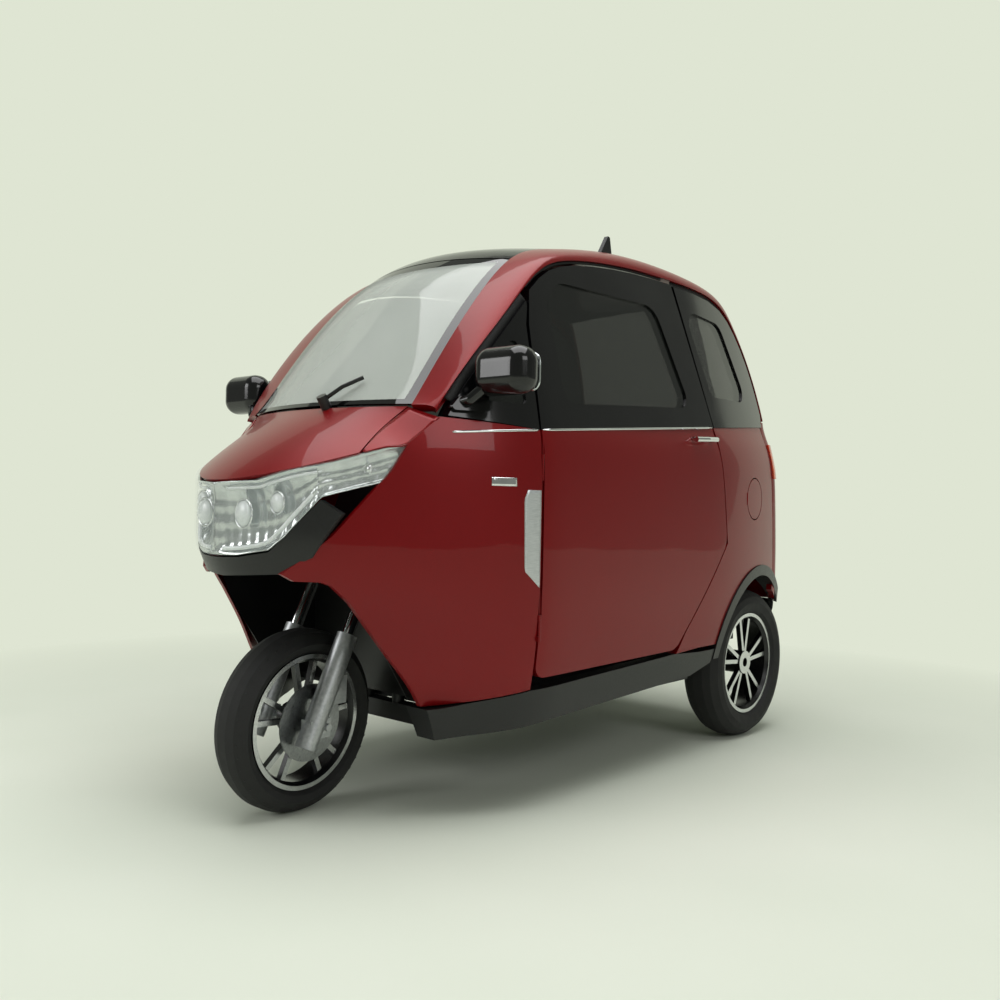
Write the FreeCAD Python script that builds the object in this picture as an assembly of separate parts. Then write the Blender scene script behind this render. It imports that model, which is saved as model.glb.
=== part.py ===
"""Electric cabin scooter: an enclosed three-wheeler with one steered wheel ahead and two wheels behind.

Millimetres.  The vehicle faces -Y, its left side is +X, up is +Z and the floor is z = 0.
Lengths along Y are worked out from the front wheel's contact point; the last step moves the
origin to the middle of the footprint.
"""
import FreeCAD, Part
import math
import os

V = FreeCAD.Vector

# ---------------------------------------------------------------- driving dimensions
WHEELBASE = 1550.0
NOSE_Y = -255.0
TAIL_Y = 1797.0
HALF_WIDTH = 500.0
CREASE_Z = 900.0
ROOF_Z = 1538.0

FRONT_WHEEL_R = 225.0
FRONT_TYRE_W = 112.0
REAR_WHEEL_R = 247.0
REAR_TYRE_W = 136.0
REAR_TRACK = 752.0
RIM_R = 160.0
RIM_LIP = 7.0
FRONT_RIM_W = 84.0
REAR_RIM_W = 104.0

RAKE = 25.0
STEER_AXIS_Y0 = -80.0
FORK_AHEAD = 50.0
FORK_HALF = 95.0
STEER_REST = 4.65

WALL = 30.0
SKIN = 8.0
ROOF_T = 24.0
GLASS_T = 5.0
SHUT_GAP = 5.0
SEAT_GAP = 0.3
SILL_T = 40.0
DOOR_TOP_GAP = 14.0
FRAME_TOP_GAP = 18.0
PILLAR_GAP = 24.0
FRAME_REAR_Y = 1636.0
TAIL_T = 20.0
TAIL_WRAP = 95.0
RUN_FIT = 0.05

# side surface: how the half width changes with height and along the length
BARREL_Z = 600.0
BARREL = 26.0 / 300.0 ** 2
TUMBLE = 0.24
TUMBLE_SOFT = 40.0
FRONT_FLAT_Y = 430.0
FRONT_BEND = 9.2e-4
FRONT_BEND_LOW = 2.0e-6
REAR_FLAT_Y = 1150.0
REAR_BEND = 2.0e-4

# door
DOOR_FRONT_Y = 351.0
DOOR_BOTTOM_Z = 345.0
DOOR_REAR_WAIST_Y = 1206.0
DOOR_REAR_MID_Y = 1262.0
DOOR_REAR_MID_Z = 660.0
DOOR_REAR_FOOT_Y = 990.0
WAIST_Z0 = 951.0
WAIST_SLOPE = 0.0755

# rear wheel arch
ARCH_TRIM_R = 333.0
ARCH_TRIM_W = 35.0

# floor and seats
FLOOR_Z = 262.0
FLOOR_T = 24.0
DASH_REAR_Y = 258.0
DECK_Z = 590.0
DECK_T = 20.0
DECK_FRONT_Y = 1150.0
FIREWALL_Y = 311.0
SHROUD_Z = 665.0
FIREWALL_SLOPE = 195.0
SHROUD_HALF = 270.0

# hinges and running fits
DOOR_HINGE_X = 490.0
DOOR_HINGE_Y = DOOR_FRONT_Y - SHUT_GAP / 2.0
DOOR_HINGE_ZS = (470.0, 860.0)
STEM_R = 24.0
CROSS_HALF = 260.0
FRONT_AXLE_R = 9.0
REAR_AXLE_R = 15.0
FLAP_R = 66.0
FLAP_Y = 1480.0
FLAP_Z = 800.0
FLAP_GAP = 4.0
MIRROR_W = 160.0
MIRROR_D = 84.0
MIRROR_H = 112.0
ANTENNA_X = 230.0
ANTENNA_Y = 955.0
ANTENNA_H = 72.0
ANTENNA_T = 14.0

ORIGIN_Y = (NOSE_Y + TAIL_Y) / 2.0
OUT = "parts"


# ---------------------------------------------------------------- small helpers
def rail(points):
    """A smooth curve through the points, with parameter 0, 1, 2 ... at each point."""
    curve = Part.BSplineCurve()
    curve.interpolate(Points=[V(*p) for p in points], Parameters=[float(i) for i in range(len(points))])
    return curve


def solid_between(outer, inner):
    """The closed solid between two grids of points that face each other."""
    faces = []
    for grid in (outer, inner):
        surface = Part.BSplineSurface()
        surface.interpolate(grid)
        faces.append(surface.toShape())
    for a, b in zip(faces[0].Edges, faces[1].Edges):
        faces.append(Part.makeRuledSurface(a, b))
    shell = Part.makeShell(faces)
    shell.sewShape()
    body = Part.makeSolid(shell)
    if body.Volume < 0:
        body.reverse()
    return body


def trimmed(body, *cutters):
    """The largest piece of a body that is left clear of its neighbours."""
    for cutter in cutters:
        body = body.cut(cutter)
    return max(body.Solids, key=lambda s: s.Volume)


def thick_skin(point, nu, nv, inside, thickness):
    """A wall whose outer face is point(u, v), u and v from 0 to 1, thickened away from `inside`."""
    outer = []
    inner = []
    step = 1e-3
    for i in range(nu):
        row_out = []
        row_in = []
        for j in range(nv):
            u = i / (nu - 1)
            v = j / (nv - 1)
            here = point(u, v)
            du = point(min(u + step, 1.0), v) - point(max(u - step, 0.0), v)
            dv = point(u, min(v + step, 1.0)) - point(u, max(v - step, 0.0))
            normal = du.cross(dv)
            normal.normalize()
            if normal.dot(inside(here)) > 0:
                normal = normal * -1.0
            row_out.append(here)
            row_in.append(here - normal * thickness)
        outer.append(row_out)
        inner.append(row_in)
    return solid_between(outer, inner)


def rounded(points, radius, place):
    """A closed face through the corners, each rounded, put into space by place(a, b)."""
    count = len(points)
    radii = radius if isinstance(radius, (list, tuple)) else [radius] * count
    edges = []
    ends = []
    for i in range(count):
        p = FreeCAD.Vector(points[i][0], points[i][1], 0)
        before = FreeCAD.Vector(*points[i - 1], 0) - p
        after = FreeCAD.Vector(*points[(i + 1) % count], 0) - p
        half = before.getAngle(after) / 2.0
        back = min(radii[i] / math.tan(half), 0.48 * before.Length, 0.48 * after.Length)
        if radii[i] <= 0 or abs(half - math.pi / 2) < 1e-3:
            ends.append((p, p, p))
            continue
        r = back * math.tan(half)
        before.normalize()
        after.normalize()
        middle = before + after
        middle.normalize()
        centre = p + middle * (r / math.sin(half))
        ends.append((p + before * back, centre - middle * r, p + after * back))
    for i in range(count):
        start, mid, stop = [place(q.x, q.y) for q in ends[i]]
        if start.distanceToPoint(stop) > 1e-6:
            edges.append(Part.Arc(start, mid, stop).toShape())
        following = place(ends[(i + 1) % count][0].x, ends[(i + 1) % count][0].y)
        if stop.distanceToPoint(following) > 1e-6:
            edges.append(Part.makeLine(stop, following))
    return Part.Face(Part.Wire(edges))


def side_prism(points, radius=0.0, reach=(150.0, 620.0)):
    """An outline in the side view, as (y, z), carried across the left side."""
    face = rounded(points, radius, lambda a, b: V(reach[0], a, b))
    return face.extrude(V(reach[1] - reach[0], 0, 0))


def grow(points, gap):
    """The same outline moved outward by gap."""
    wire = rounded(points, 0.0, lambda a, b: V(a, b, 0)).OuterWire
    bigger = wire.makeOffset2D(gap, join=2)
    return [(v.Point.x, v.Point.y) for v in bigger.OrderedVertexes]


def box(x0, x1, y0, y1, z0, z1):
    return Part.makeBox(x1 - x0, y1 - y0, z1 - z0, V(x0, y0, z0))


def rod(start, end, radius):
    start = V(*start)
    end = V(*end)
    return Part.makeCylinder(radius, (end - start).Length, start, end - start)


def mirrored(shape):
    return shape.mirror(V(0, 0, 0), V(1, 0, 0))


def joined(shapes):
    body = shapes[0].fuse(shapes[1:]) if len(shapes) > 1 else shapes[0]
    return body.removeSplitter()


def pill(points, radius):
    """A round bar through the points, with a ball at each bend."""
    parts = [rod(a, b, radius) for a, b in zip(points, points[1:])]
    parts += [Part.makeSphere(radius, V(*p)) for p in points[1:-1]]
    return joined(parts)


# ---------------------------------------------------------------- the body's outer surfaces
def half_width(z):
    """Half of the body's greatest width at a height."""
    low = max(0.0, BARREL_Z - z)
    over = z - CREASE_Z
    lean = (over + math.hypot(over, TUMBLE_SOFT)) / 2.0
    return HALF_WIDTH - BARREL * low ** 2 - TUMBLE * lean


def side_x(y, z):
    """Half width of the outer side at a station and a height."""
    bend = FRONT_BEND + FRONT_BEND_LOW * max(0.0, BARREL_Z - z)
    ahead = max(0.0, FRONT_FLAT_Y - y)
    behind = max(0.0, y - REAR_FLAT_Y)
    return half_width(z) - bend * ahead ** 2 - REAR_BEND * behind ** 2


def tail_y(z):
    """Where the tail's centre line stands at a height."""
    if z > 1000.0:
        return 1742.0 - 0.33 * (z - 1000.0) - 2.8e-4 * (z - 1000.0) ** 2
    return 1742.0 + 0.17 * (1000.0 - z) - 1.3e-4 * (1000.0 - z) ** 2


def waist_z(y):
    return WAIST_Z0 + WAIST_SLOPE * (y - DOOR_FRONT_Y)


# lower edge of the red roof rail on the side, as (y, z): cowl, pillar, roof, rear pillar
RAIL_SIDE = [(95, 984), (180, 1105), (305, 1245), (440, 1367), (600, 1428), (866, 1461),
             (1150, 1468), (1400, 1453), (1535, 1375), (1615, 1262), (1655, 1150), (1668, 1072)]
# its upper edge, where glass or roof begins
RAIL_TOP = [(312, 76, 997), (304, 160, 1105), (298, 290, 1268), (284, 450, 1417), (288, 610, 1474),
            (296, 850, 1511), (300, 1140, 1519), (302, 1420, 1494), (318, 1530, 1425),
            (340, 1598, 1320), (362, 1660, 1195), (380, 1703, 1072)]
# the centre line over the glass and the roof, as (y, z)
CENTRE = [(15, 998), (110, 1119), (240, 1270), (395, 1432), (570, 1494), (840, 1530),
          (1140, ROOF_Z), (1435, 1512), (1553, 1436), (1610, 1330), (1675, 1200), (1720, 1072)]

side_edge = rail([(side_x(y, z), y, z) for y, z in RAIL_SIDE])
top_edge = rail(RAIL_TOP)
centre_edge = rail([(0.0, y, z) for y, z in CENTRE])
HEADER = 3.0
ROOF_BACK = 7.35
RAIL_END = float(len(CENTRE) - 1)


def inward_from(centre):
    return lambda p: centre - p


CABIN_MIDDLE = V(0, 900, 800)


def crown(s0, s1, gap_share=1.0):
    """Part of the arched surface between the two roof rails, from station s0 to s1."""
    def point(u, v):
        across = (2 * u - 1) * gap_share
        s = s0 + (s1 - s0) * v
        c = centre_edge.value(s)
        e = top_edge.value(s)
        bend = across * across
        return V(e.x * across, c.y + (e.y - c.y) * bend, c.z + (e.z - c.z) * bend)
    return point


def rail_band(u, v):
    """The rounded band between the side and the roof, u across it and v along it."""
    s = v * RAIL_END
    a = side_edge.value(s)
    b = top_edge.value(s)
    c = centre_edge.value(s)
    slope = (b - c)
    corner = V(a.x * 0.985, (a.y * 0.35 + (b.y + slope.y * 0.25) * 0.65), 0)
    corner.z = a.z * 0.3 + (b.z + slope.z * 0.25) * 0.7 + 6.0
    return a * (1 - u) ** 2 + corner * (2 * u * (1 - u)) + b * u ** 2


def side_wall(y0, y1, z0, z1, thickness, inset=0.0):
    """A rectangle of the left side's wall."""
    def point(u, v):
        y = y0 + (y1 - y0) * u
        z = z0 + (z1 - z0) * v
        return V(side_x(y, z) - inset, y, z)
    return thick_skin(point, 12, 10, inward_from(CABIN_MIDDLE), thickness)


# ---------------------------------------------------------------- outlines in the side view
def door_outline():
    low = [(DOOR_FRONT_Y, DOOR_BOTTOM_Z), (DOOR_REAR_FOOT_Y, DOOR_BOTTOM_Z + 8),
           (DOOR_REAR_MID_Y, DOOR_REAR_MID_Z), (DOOR_REAR_WAIST_Y, waist_z(DOOR_REAR_WAIST_Y))]
    return low + [(DOOR_FRONT_Y, waist_z(DOOR_FRONT_Y))]


def rail_edge_points(s0, s1, count, drop):
    """Points along the rail's lower edge, moved down by drop."""
    points = []
    for i in range(count):
        s = s0 + (s1 - s0) * i / (count - 1)
        here = side_edge.value(s)
        ahead = side_edge.value(min(s + 0.01, RAIL_END)) - side_edge.value(max(s - 0.01, 0.0))
        flat = V(ahead.z, -ahead.y, 0)
        flat.normalize()
        points.append((here.y + flat.x * drop, here.z + flat.y * drop))
    return points


DOOR_TOP_S = 5.85
FRAME_OUTLINE = ([(DOOR_FRONT_Y, waist_z(DOOR_FRONT_Y) + 1.0)]
                 + [(DOOR_FRONT_Y + 16, 1215.0)]
                 + rail_edge_points(2.55, DOOR_TOP_S, 10, DOOR_TOP_GAP)
                 + [(DOOR_REAR_WAIST_Y, waist_z(DOOR_REAR_WAIST_Y) + 1.0)])
DOOR_GLASS = [(462, 1026), (452, 1289), (520, 1352), (984, 1363), (1088, 1068)]
DOOR_GLASS_R = [38, 60, 60, 70, 40]
QUARTER_GLASS = [(1236, 1115), (1160, 1384), (1400, 1372), (1520, 1120)]
QUARTER_GLASS_R = [30, 50, 60, 45]
TRIANGLE_GLASS = [(190, 1012), (300, 1168), (318, 1168), (318, 1012)]
TRIANGLE_GLASS_R = [12, 14, 14, 14]
ARCH_CENTRE = (WHEELBASE, REAR_WHEEL_R)


def arch_prism(radius, reach=(150.0, 620.0)):
    return Part.makeCylinder(radius, reach[1] - reach[0], V(reach[0], *ARCH_CENTRE), V(1, 0, 0))


# ---------------------------------------------------------------- doors
def hinge_barrel(x, y, z, half, radius, pin):
    """The moving half of a hinge: a barrel on the pin."""
    barrel = Part.makeCylinder(radius, 2 * half, V(x, y, z - half))
    return barrel.cut(Part.makeCylinder(pin + RUN_FIT, 4 * half, V(x, y, z - 2 * half)))


def hinge_lugs(x, y, z, half, radius, pin):
    """The fixed half of a hinge: the pin with a lug at each end."""
    lug = half * 0.6
    low = Part.makeCylinder(radius, lug, V(x, y, z - half - lug - 0.3))
    high = Part.makeCylinder(radius, lug, V(x, y, z + half + 0.3))
    return joined([Part.makeCylinder(pin, 2 * half + 2, V(x, y, z - half - 1)), low, high])


def door_panel():
    wall = side_wall(320, 1300, 320, 1040, WALL)
    body = wall.common(side_prism(door_outline(), [30, 60, 70, 0, 0]))
    lead = [(DOOR_HINGE_X - 1, DOOR_FRONT_Y - 9), (DOOR_HINGE_X + 20, DOOR_FRONT_Y - 9),
            (DOOR_HINGE_X + 20, DOOR_FRONT_Y + 20)]
    corner = rounded(lead, 0.0, lambda a, b: V(a, b, 300)).extrude(V(0, 0, 700))
    relief = Part.makeCylinder(4.6, 700, V(DOOR_HINGE_X, DOOR_HINGE_Y, 300))
    parts = [trimmed(body, corner, relief)]
    for z in DOOR_HINGE_ZS:
        leaf = box(DOOR_HINGE_X - 12, DOOR_HINGE_X - 2.2, DOOR_HINGE_Y - 1, DOOR_FRONT_Y + 3, z - 20, z + 20)
        parts.append(joined([leaf, hinge_barrel(DOOR_HINGE_X, DOOR_HINGE_Y, z, 20.0, 3.6, 2.0)]))
    body = joined(parts)
    return body.cut(Part.makeCylinder(2.0 + RUN_FIT, 700, V(DOOR_HINGE_X, DOOR_HINGE_Y, 300)))


def door_frame():
    wall = side_wall(330, 1230, 930, 1480, WALL)
    body = wall.common(side_prism(FRAME_OUTLINE))
    return trimmed(body, side_prism(DOOR_GLASS, DOOR_GLASS_R))


def pane(outline, radii, y0, y1):
    wall = side_wall(y0, y1, 980, 1420, GLASS_T, inset=6.0)
    return wall.common(side_prism(grow(outline, -SEAT_GAP), radii))


def door_glass():
    return pane(DOOR_GLASS, DOOR_GLASS_R, 430, 1110)


def door_handle():
    y0 = 1115.0
    z0 = waist_z(y0) - 38.0
    x0 = side_x(y0, z0)
    grip = pill([(x0 + 20, y0 - 62, z0), (x0 + 24, y0, z0 + 3), (x0 + 18, y0 + 62, z0 + 6)], 8.0)
    feet = [rod((x0 - 4, y0 + d, z0 + 3), (x0 + 20, y0 + d, z0 + 3), 6.0) for d in (-50, 50)]
    body = joined([grip] + feet)
    return body.cut(side_wall(1000, 1250, 900, 1040, WALL))


# ---------------------------------------------------------------- fixed side panels
def fender(neighbours):
    wall = side_wall(-190, 352, 230, 1000, SKIN)
    rear = DOOR_FRONT_Y - SHUT_GAP
    outline = [(-170, 601), (-148, 585), (-107, 584), (-89, 576), (-51, 536), (9, 454), (63, 375),
               (123, 286), (rear, 318), (rear, waist_z(rear)), (100, 968), (35, 905), (5, 843), (-30, 790),
               (-95, 690)]
    body = wall.common(side_prism(outline, 0.0, (120.0, 620.0)))
    relief = Part.makeCylinder(4.6, 700, V(DOOR_HINGE_X, DOOR_HINGE_Y, 300))
    parts = [trimmed(body, *neighbours, relief)]
    for z in DOOR_HINGE_ZS:
        lugs = hinge_lugs(DOOR_HINGE_X, DOOR_HINGE_Y, z, 20.0, 3.6, 2.0)
        for end in (z - 32.3, z + 20.3):
            leaf = box(DOOR_HINGE_X - 6, DOOR_HINGE_X, rear - 3, DOOR_HINGE_Y, end, end + 12)
            lugs = lugs.fuse(leaf)
        parts.append(lugs)
    return joined(parts)


def front_frame():
    wall = side_wall(80, 372, 940, 1330, WALL)
    edge = rail_edge_points(0.35, 2.42, 8, PILLAR_GAP)
    rear = DOOR_FRONT_Y - SHUT_GAP
    outline = [(rear, waist_z(rear) + SEAT_GAP), (118, 972)] + edge + [(rear + 12, 1215)]
    body = wall.common(side_prism(outline))
    return trimmed(body, side_prism(TRIANGLE_GLASS, TRIANGLE_GLASS_R))


def rear_frame(tail_body):
    wall = side_wall(1070, 1690, 1000, 1480, WALL)
    edge = rail_edge_points(5.9, RAIL_END - 0.35, 12, FRAME_TOP_GAP)
    front = DOOR_REAR_WAIST_Y + SHUT_GAP
    outline = ([(front, waist_z(front) + SEAT_GAP)] + edge
               + [(FRAME_REAR_Y, waist_z(FRAME_REAR_Y) + SEAT_GAP)])
    body = wall.common(side_prism(outline)).cut(side_prism(QUARTER_GLASS, QUARTER_GLASS_R))
    return trimmed(body, side_prism(grow(FRAME_OUTLINE, SHUT_GAP)), tail_body)


def quarter_panel(tail_body):
    wall = side_wall(960, 1730, 330, 1070, WALL)
    back = [(tail_y(z) - TAIL_WRAP - 4.0, z) for z in (346.0, 500.0, 700.0, 900.0, 1040.0)]
    top_y = back[-1][0] - 8.0
    outline = ([(1000, 340), (1130, 346)] + back
               + [(top_y, waist_z(top_y)), (1206, waist_z(1206)), (1230, 700)])
    body = wall.common(side_prism(outline))
    body = body.cut(side_prism(grow(door_outline(), SHUT_GAP)))
    body = body.cut(arch_prism(ARCH_TRIM_R))
    recess = Part.makeCylinder(FLAP_R + FLAP_GAP, 80, V(side_x(FLAP_Y, FLAP_Z) - 16, FLAP_Y, FLAP_Z), V(1, 0, 0))
    x, y = flap_hinge()
    body = trimmed(body, recess, tail_body, Part.makeCylinder(3.6, 24.6, V(x, y, FLAP_Z - 12.3)))
    lugs = hinge_lugs(x, y, FLAP_Z, 12.0, 3.0, 1.5)
    lugs = joined([lugs, box(x - 12, x, y - 12, y, FLAP_Z + 12.3, FLAP_Z + 19.5),
                   box(x - 12, x, y - 12, y, FLAP_Z - 19.5, FLAP_Z - 12.3)])
    return joined([body, lugs])


def arch_trim(neighbours):
    ring = arch_prism(ARCH_TRIM_R - 0.5, (390.0, 506.0)).cut(arch_prism(ARCH_TRIM_R - ARCH_TRIM_W))
    ring = ring.common(box(380, 520, 1190, 1790, 300, 700))
    body = ring.common(side_wall(1150, 1780, 250, 640, 60, inset=-5.0))
    return trimmed(body, *neighbours)


def sill():
    wall = side_wall(90, 1260, 180, 352, SILL_T, inset=-2.0)
    outline = [(121, 281), (348, 316), (990, 340), (1130, 332), (1235, 332), (1210, 290), (1100, 262),
               (420, 232), (150, 205)]
    body = wall.common(side_prism(outline, 0.0, (200.0, 620.0)))
    return trimmed(body, arch_prism(ARCH_TRIM_R))


# ---------------------------------------------------------------- front end
def bonnet():
    seam = rail([(286, -57, 879), (277, -10, 917), (277, 33, 952), (299, 77, 994)])
    middle = rail([(0, -240, 812), (0, -150, 888), (0, -60, 950), (0, 12, 994)])

    def point(u, v):
        across = 2 * u - 1
        e = seam.value(3 * v)
        c = middle.value(3 * v)
        bend = across * across
        return V(e.x * across, c.y + (e.y - c.y) * bend, c.z + (e.z - c.z) * bend)
    return thick_skin(point, 11, 6, inward_from(V(0, 200, 600)), SKIN)


def nose_y(x, z):
    """The front face at headlamp height."""
    under = max(0.0, 700.0 - z)
    return NOSE_Y + 2.4e-3 * x * x + 3.0e-3 * under ** 2


def nose_wall(z0, z1, half, thickness, inset=0.0):
    def point(u, v):
        x = half * (2 * u - 1)
        z = z0 + (z1 - z0) * v
        return V(x, nose_y(x, z) + inset, z)
    return thick_skin(point, 15, 8, inward_from(V(0, 400, 700)), thickness)


LAMP_HALF = [(0, 638), (70, 641), (140, 654), (172, 684), (232, 776), (332, 820), (334, 845), (350, 903),
             (318, 894), (290, 878), (250, 858), (172, 833), (120, 812), (0, 806)]


def front_prism(half_outline, radius=0.0, y0=-300.0, y1=200.0):
    other = [(-x, z) for x, z in reversed(half_outline) if x > 0]
    face = rounded(half_outline + other, radius, lambda a, b: V(a, y0, b))
    return face.extrude(V(0, y1 - y0, 0))


def headlamp_lens():
    return nose_wall(600, 940, 356, 4.0).common(front_prism(LAMP_HALF))


def headlamp_housing():
    wall = nose_wall(600, 940, 356, 60.0, inset=8.0)
    return wall.common(front_prism(LAMP_HALF))


def nose_panel():
    wall = nose_wall(570, 830, 300, SKIN, inset=6.0)
    half = [(0, 590), (150, 600), (215, 640), (262, 740), (232, 770), (176, 684), (142, 650), (70, 636.5),
            (0, 633.5)]
    return wall.common(front_prism(half))


def front_shroud():
    """The tunnel over the front wheel: two walls, a roof and a back, and the footwell's wall behind it."""
    half = SHROUD_HALF
    side = [(-38, SHROUD_Z), (-48, 548), (12, 462), (66, 383), (126, 294), (268, 275), (268, SHROUD_Z)]
    parts = []
    for x in (-half, half - 4):
        parts.append(rounded(side, 0.0, lambda a, b: V(x, a, b)).extrude(V(4, 0, 0)))
    front = [(x, max(nose_y(x, SHROUD_Z) + 78, -178)) for x in (0, 80, 140, 190, 215)]
    front = front + [(238, -40), (half, -38), (half, 268)]
    plan = front + [(-x, y) for x, y in reversed(front) if x > 0]
    parts.append(rounded(plan, 0.0, lambda a, b: V(a, b, SHROUD_Z)).extrude(V(0, 0, 5)))
    parts.append(box(-half, half, 262, 268, 262.3, SHROUD_Z + 5))
    return joined(parts).cut(steer_rod(600, 740, 46.0))


def firewall():
    low = box(-400, 400, FIREWALL_Y, FIREWALL_Y + 6, FLOOR_Z, SHROUD_Z)
    high = box(-300, 300, 0, 6, 0, FIREWALL_SLOPE)
    high.rotate(V(0, 0, 0), V(1, 0, 0), -RAKE)
    high.translate(V(0, FIREWALL_Y, SHROUD_Z - 2))
    return joined([low, high])


def dashboard():
    top = box(-270, 270, 70, DASH_REAR_Y, 905, 945)
    top = top.makeFillet(14.0, [e for e in top.Edges if abs(e.CenterOfMass.y - DASH_REAR_Y) < 1])
    binnacle = rod((0, DASH_REAR_Y - 83, 940), (0, DASH_REAR_Y - 46, 994), 58.0)
    return joined([top, binnacle])


# ---------------------------------------------------------------- roof and glass
def roof_rail():
    return thick_skin(rail_band, 6, 34, inward_from(CABIN_MIDDLE), ROOF_T)


def windshield():
    return thick_skin(crown(0.04, HEADER - 0.03), 11, 9, inward_from(CABIN_MIDDLE), GLASS_T + 1)


def roof_panel():
    return thick_skin(crown(HEADER, ROOF_BACK), 11, 14, inward_from(CABIN_MIDDLE), ROOF_T)


def rear_window():
    return thick_skin(crown(ROOF_BACK + 0.03, RAIL_END - 0.05), 11, 9, inward_from(CABIN_MIDDLE), GLASS_T)


def tail_skin(z0, z1, u0, u1, thickness, out=0.0, nu=21, nv=8):
    """Part of the tail's surface, which wraps round both rear corners."""
    def point(u, v):
        z = z0 + (z1 - z0) * v
        back = tail_y(z)
        wide = side_x(back - 90, z) + out
        wrap = TAIL_WRAP
        plan = [(-wide, -wrap), (-wide + 4, -0.65 * wrap), (-wide + 26, -0.31 * wrap),
                (-wide + 80, -15), (-wide * 0.45, -5), (0, 0)]
        plan += [(-x, y) for x, y in reversed(plan[:-1])]
        curve = rail([(x, back + y + out, z) for x, y in plan])
        return curve.value((u0 + (u1 - u0) * u) * (len(plan) - 1))
    return thick_skin(point, nu, nv, inward_from(V(0, 1000, 700)), thickness)


LAMP_U = (0.035, 0.2)
LAMP_Z = (872.0, 990.0)


def tail_lamp():
    return tail_skin(LAMP_Z[0], LAMP_Z[1], 1 - LAMP_U[1], 1 - LAMP_U[0], 26.0, 4.0, 11, 5)


def tail_panel(lamp):
    body = tail_skin(452.0, 1066.0, 0.0, 1.0, TAIL_T)
    wheel = [arch_prism(282.0, reach) for reach in ((250.0, 620.0), (-620.0, -250.0))]
    return trimmed(body, lamp, mirrored(lamp), *wheel)


def rear_bumper():
    body = tail_skin(356.0, 449.0, 0.0, 1.0, 12.0, 0.0, 21, 4)
    wheel = [arch_prism(262.0, reach) for reach in ((250.0, 620.0), (-620.0, -250.0))]
    return trimmed(body, *wheel)


# ---------------------------------------------------------------- inside
def floor_pan():
    stations = [FIREWALL_Y + 40 * i for i in range(6)] + [DECK_FRONT_Y - 0.3]
    edge = [(side_x(y, FLOOR_Z - FLOOR_T) - SILL_T - 2.0, y) for y in stations]
    plan = edge + [(-x, y) for x, y in reversed(edge)]
    pan = rounded(plan, 0.0, lambda a, b: V(a, b, FLOOR_Z - FLOOR_T)).extrude(V(0, 0, FLOOR_T))
    base = joined([box(-170, 170, 680, 1040, FLOOR_Z, 330), box(-150, 150, 700, 1020, 330, 559.7)])
    return joined([pan, base])


def rear_tub():
    riser = box(-420, 420, DECK_FRONT_Y, DECK_FRONT_Y + DECK_T, FLOOR_Z - FLOOR_T, DECK_Z)
    deck = box(-400, 400, DECK_FRONT_Y, 1700, DECK_Z - DECK_T, DECK_Z)
    wells = [box(min(s * 280, s * 292), max(s * 280, s * 292), DECK_FRONT_Y + DECK_T, 1700, 300,
                 DECK_Z - DECK_T) for s in (-1, 1)]
    return joined([riser, deck] + wells)


def driver_seat():
    cushion = box(-210, 210, 640, 1060, 560, 640)
    cushion = cushion.makeFillet(26.0, cushion.Edges)
    back = box(-200, 200, 0, 80, 0, 430)
    back = back.makeFillet(26.0, back.Edges)
    back.rotate(V(0, 0, 0), V(1, 0, 0), -12)
    back.translate(V(0, 1000, 640))
    return joined([cushion, back])



def rear_bench():
    cushion = box(-360, 360, 1240, 1600, DECK_Z + SEAT_GAP, 690)
    cushion = cushion.makeFillet(26.0, cushion.Edges)
    return cushion


def bench_back():
    back = box(-350, 350, 0, 60, 0, 330)
    back = back.makeFillet(22.0, back.Edges)
    back.rotate(V(0, 0, 0), V(1, 0, 0), -10)
    back.translate(V(0, 1560, 693.5))
    return back


def battery_pack():
    return box(-150, 150, 1180, 1390, 300, DECK_Z - DECK_T - SEAT_GAP)


# ---------------------------------------------------------------- chassis
def chassis_frame():
    parts = []
    for side in (-1, 1):
        x0, x1 = sorted((side * 180, side * 220))
        parts.append(box(x0, x1, 290, 1230, 190, 238))
        parts.append(box(x0, x1, 1190, 1230, 190, 360))
        parts.append(box(x0, x1, 1190, 1710, 330, 370))
        parts.append(rod((side * 60, 289, 200), (side * 60, 289, 640), 17.0))
        parts.append(rod((side * 60, 289, 640), (side * 20, 262, 740), 17.0))
        parts.append(Part.makeSphere(17.0, V(side * 60, 289, 640)))
    for y in (272, 620, 950, 1190):
        half = CROSS_HALF if y > 500 else 220
        parts.append(box(-half, half, y, y + 40, 190, 236))
    parts.append(box(-220, 220, 1670, 1710, 330, 370))
    head = steer_rod(680, 800, STEM_R + 10.0)
    body = joined(parts + [head])
    return body.cut(steer_rod(600, 860, STEM_R + RUN_FIT))


# ---------------------------------------------------------------- steering and wheels
def steer_y(z):
    return STEER_AXIS_Y0 + z * math.tan(math.radians(RAKE))


def steer_rod(z0, z1, radius, x=0.0, ahead=0.0):
    """A round bar parallel to the steering axis between two heights."""
    shift = ahead / math.cos(math.radians(RAKE))
    return rod((x, steer_y(z0) - shift, z0), (x, steer_y(z1) - shift, z1), radius)


def steered(shape):
    """Turned about the steering axis to the angle at which the vehicle stands."""
    shape = shape.copy()
    rake = math.radians(RAKE)
    shape.rotate(V(0, STEER_AXIS_Y0, 0), V(0, math.sin(rake), math.cos(rake)), STEER_REST)
    return shape


def clamp(z, thickness, reach):
    rake = math.radians(RAKE)
    wide = FORK_HALF + 34
    plan = [(-wide, -FORK_AHEAD - 34), (wide, -FORK_AHEAD - 34), (wide, -FORK_AHEAD + 20), (45, reach),
            (-45, reach), (-wide, -FORK_AHEAD + 20)]
    plate = rounded(plan, 8.0, lambda a, b: V(a, b, 0)).extrude(V(0, 0, thickness))
    plate.rotate(V(0, 0, 0), V(1, 0, 0), -RAKE)
    plate.translate(V(0, steer_y(z), z))
    return plate


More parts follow.
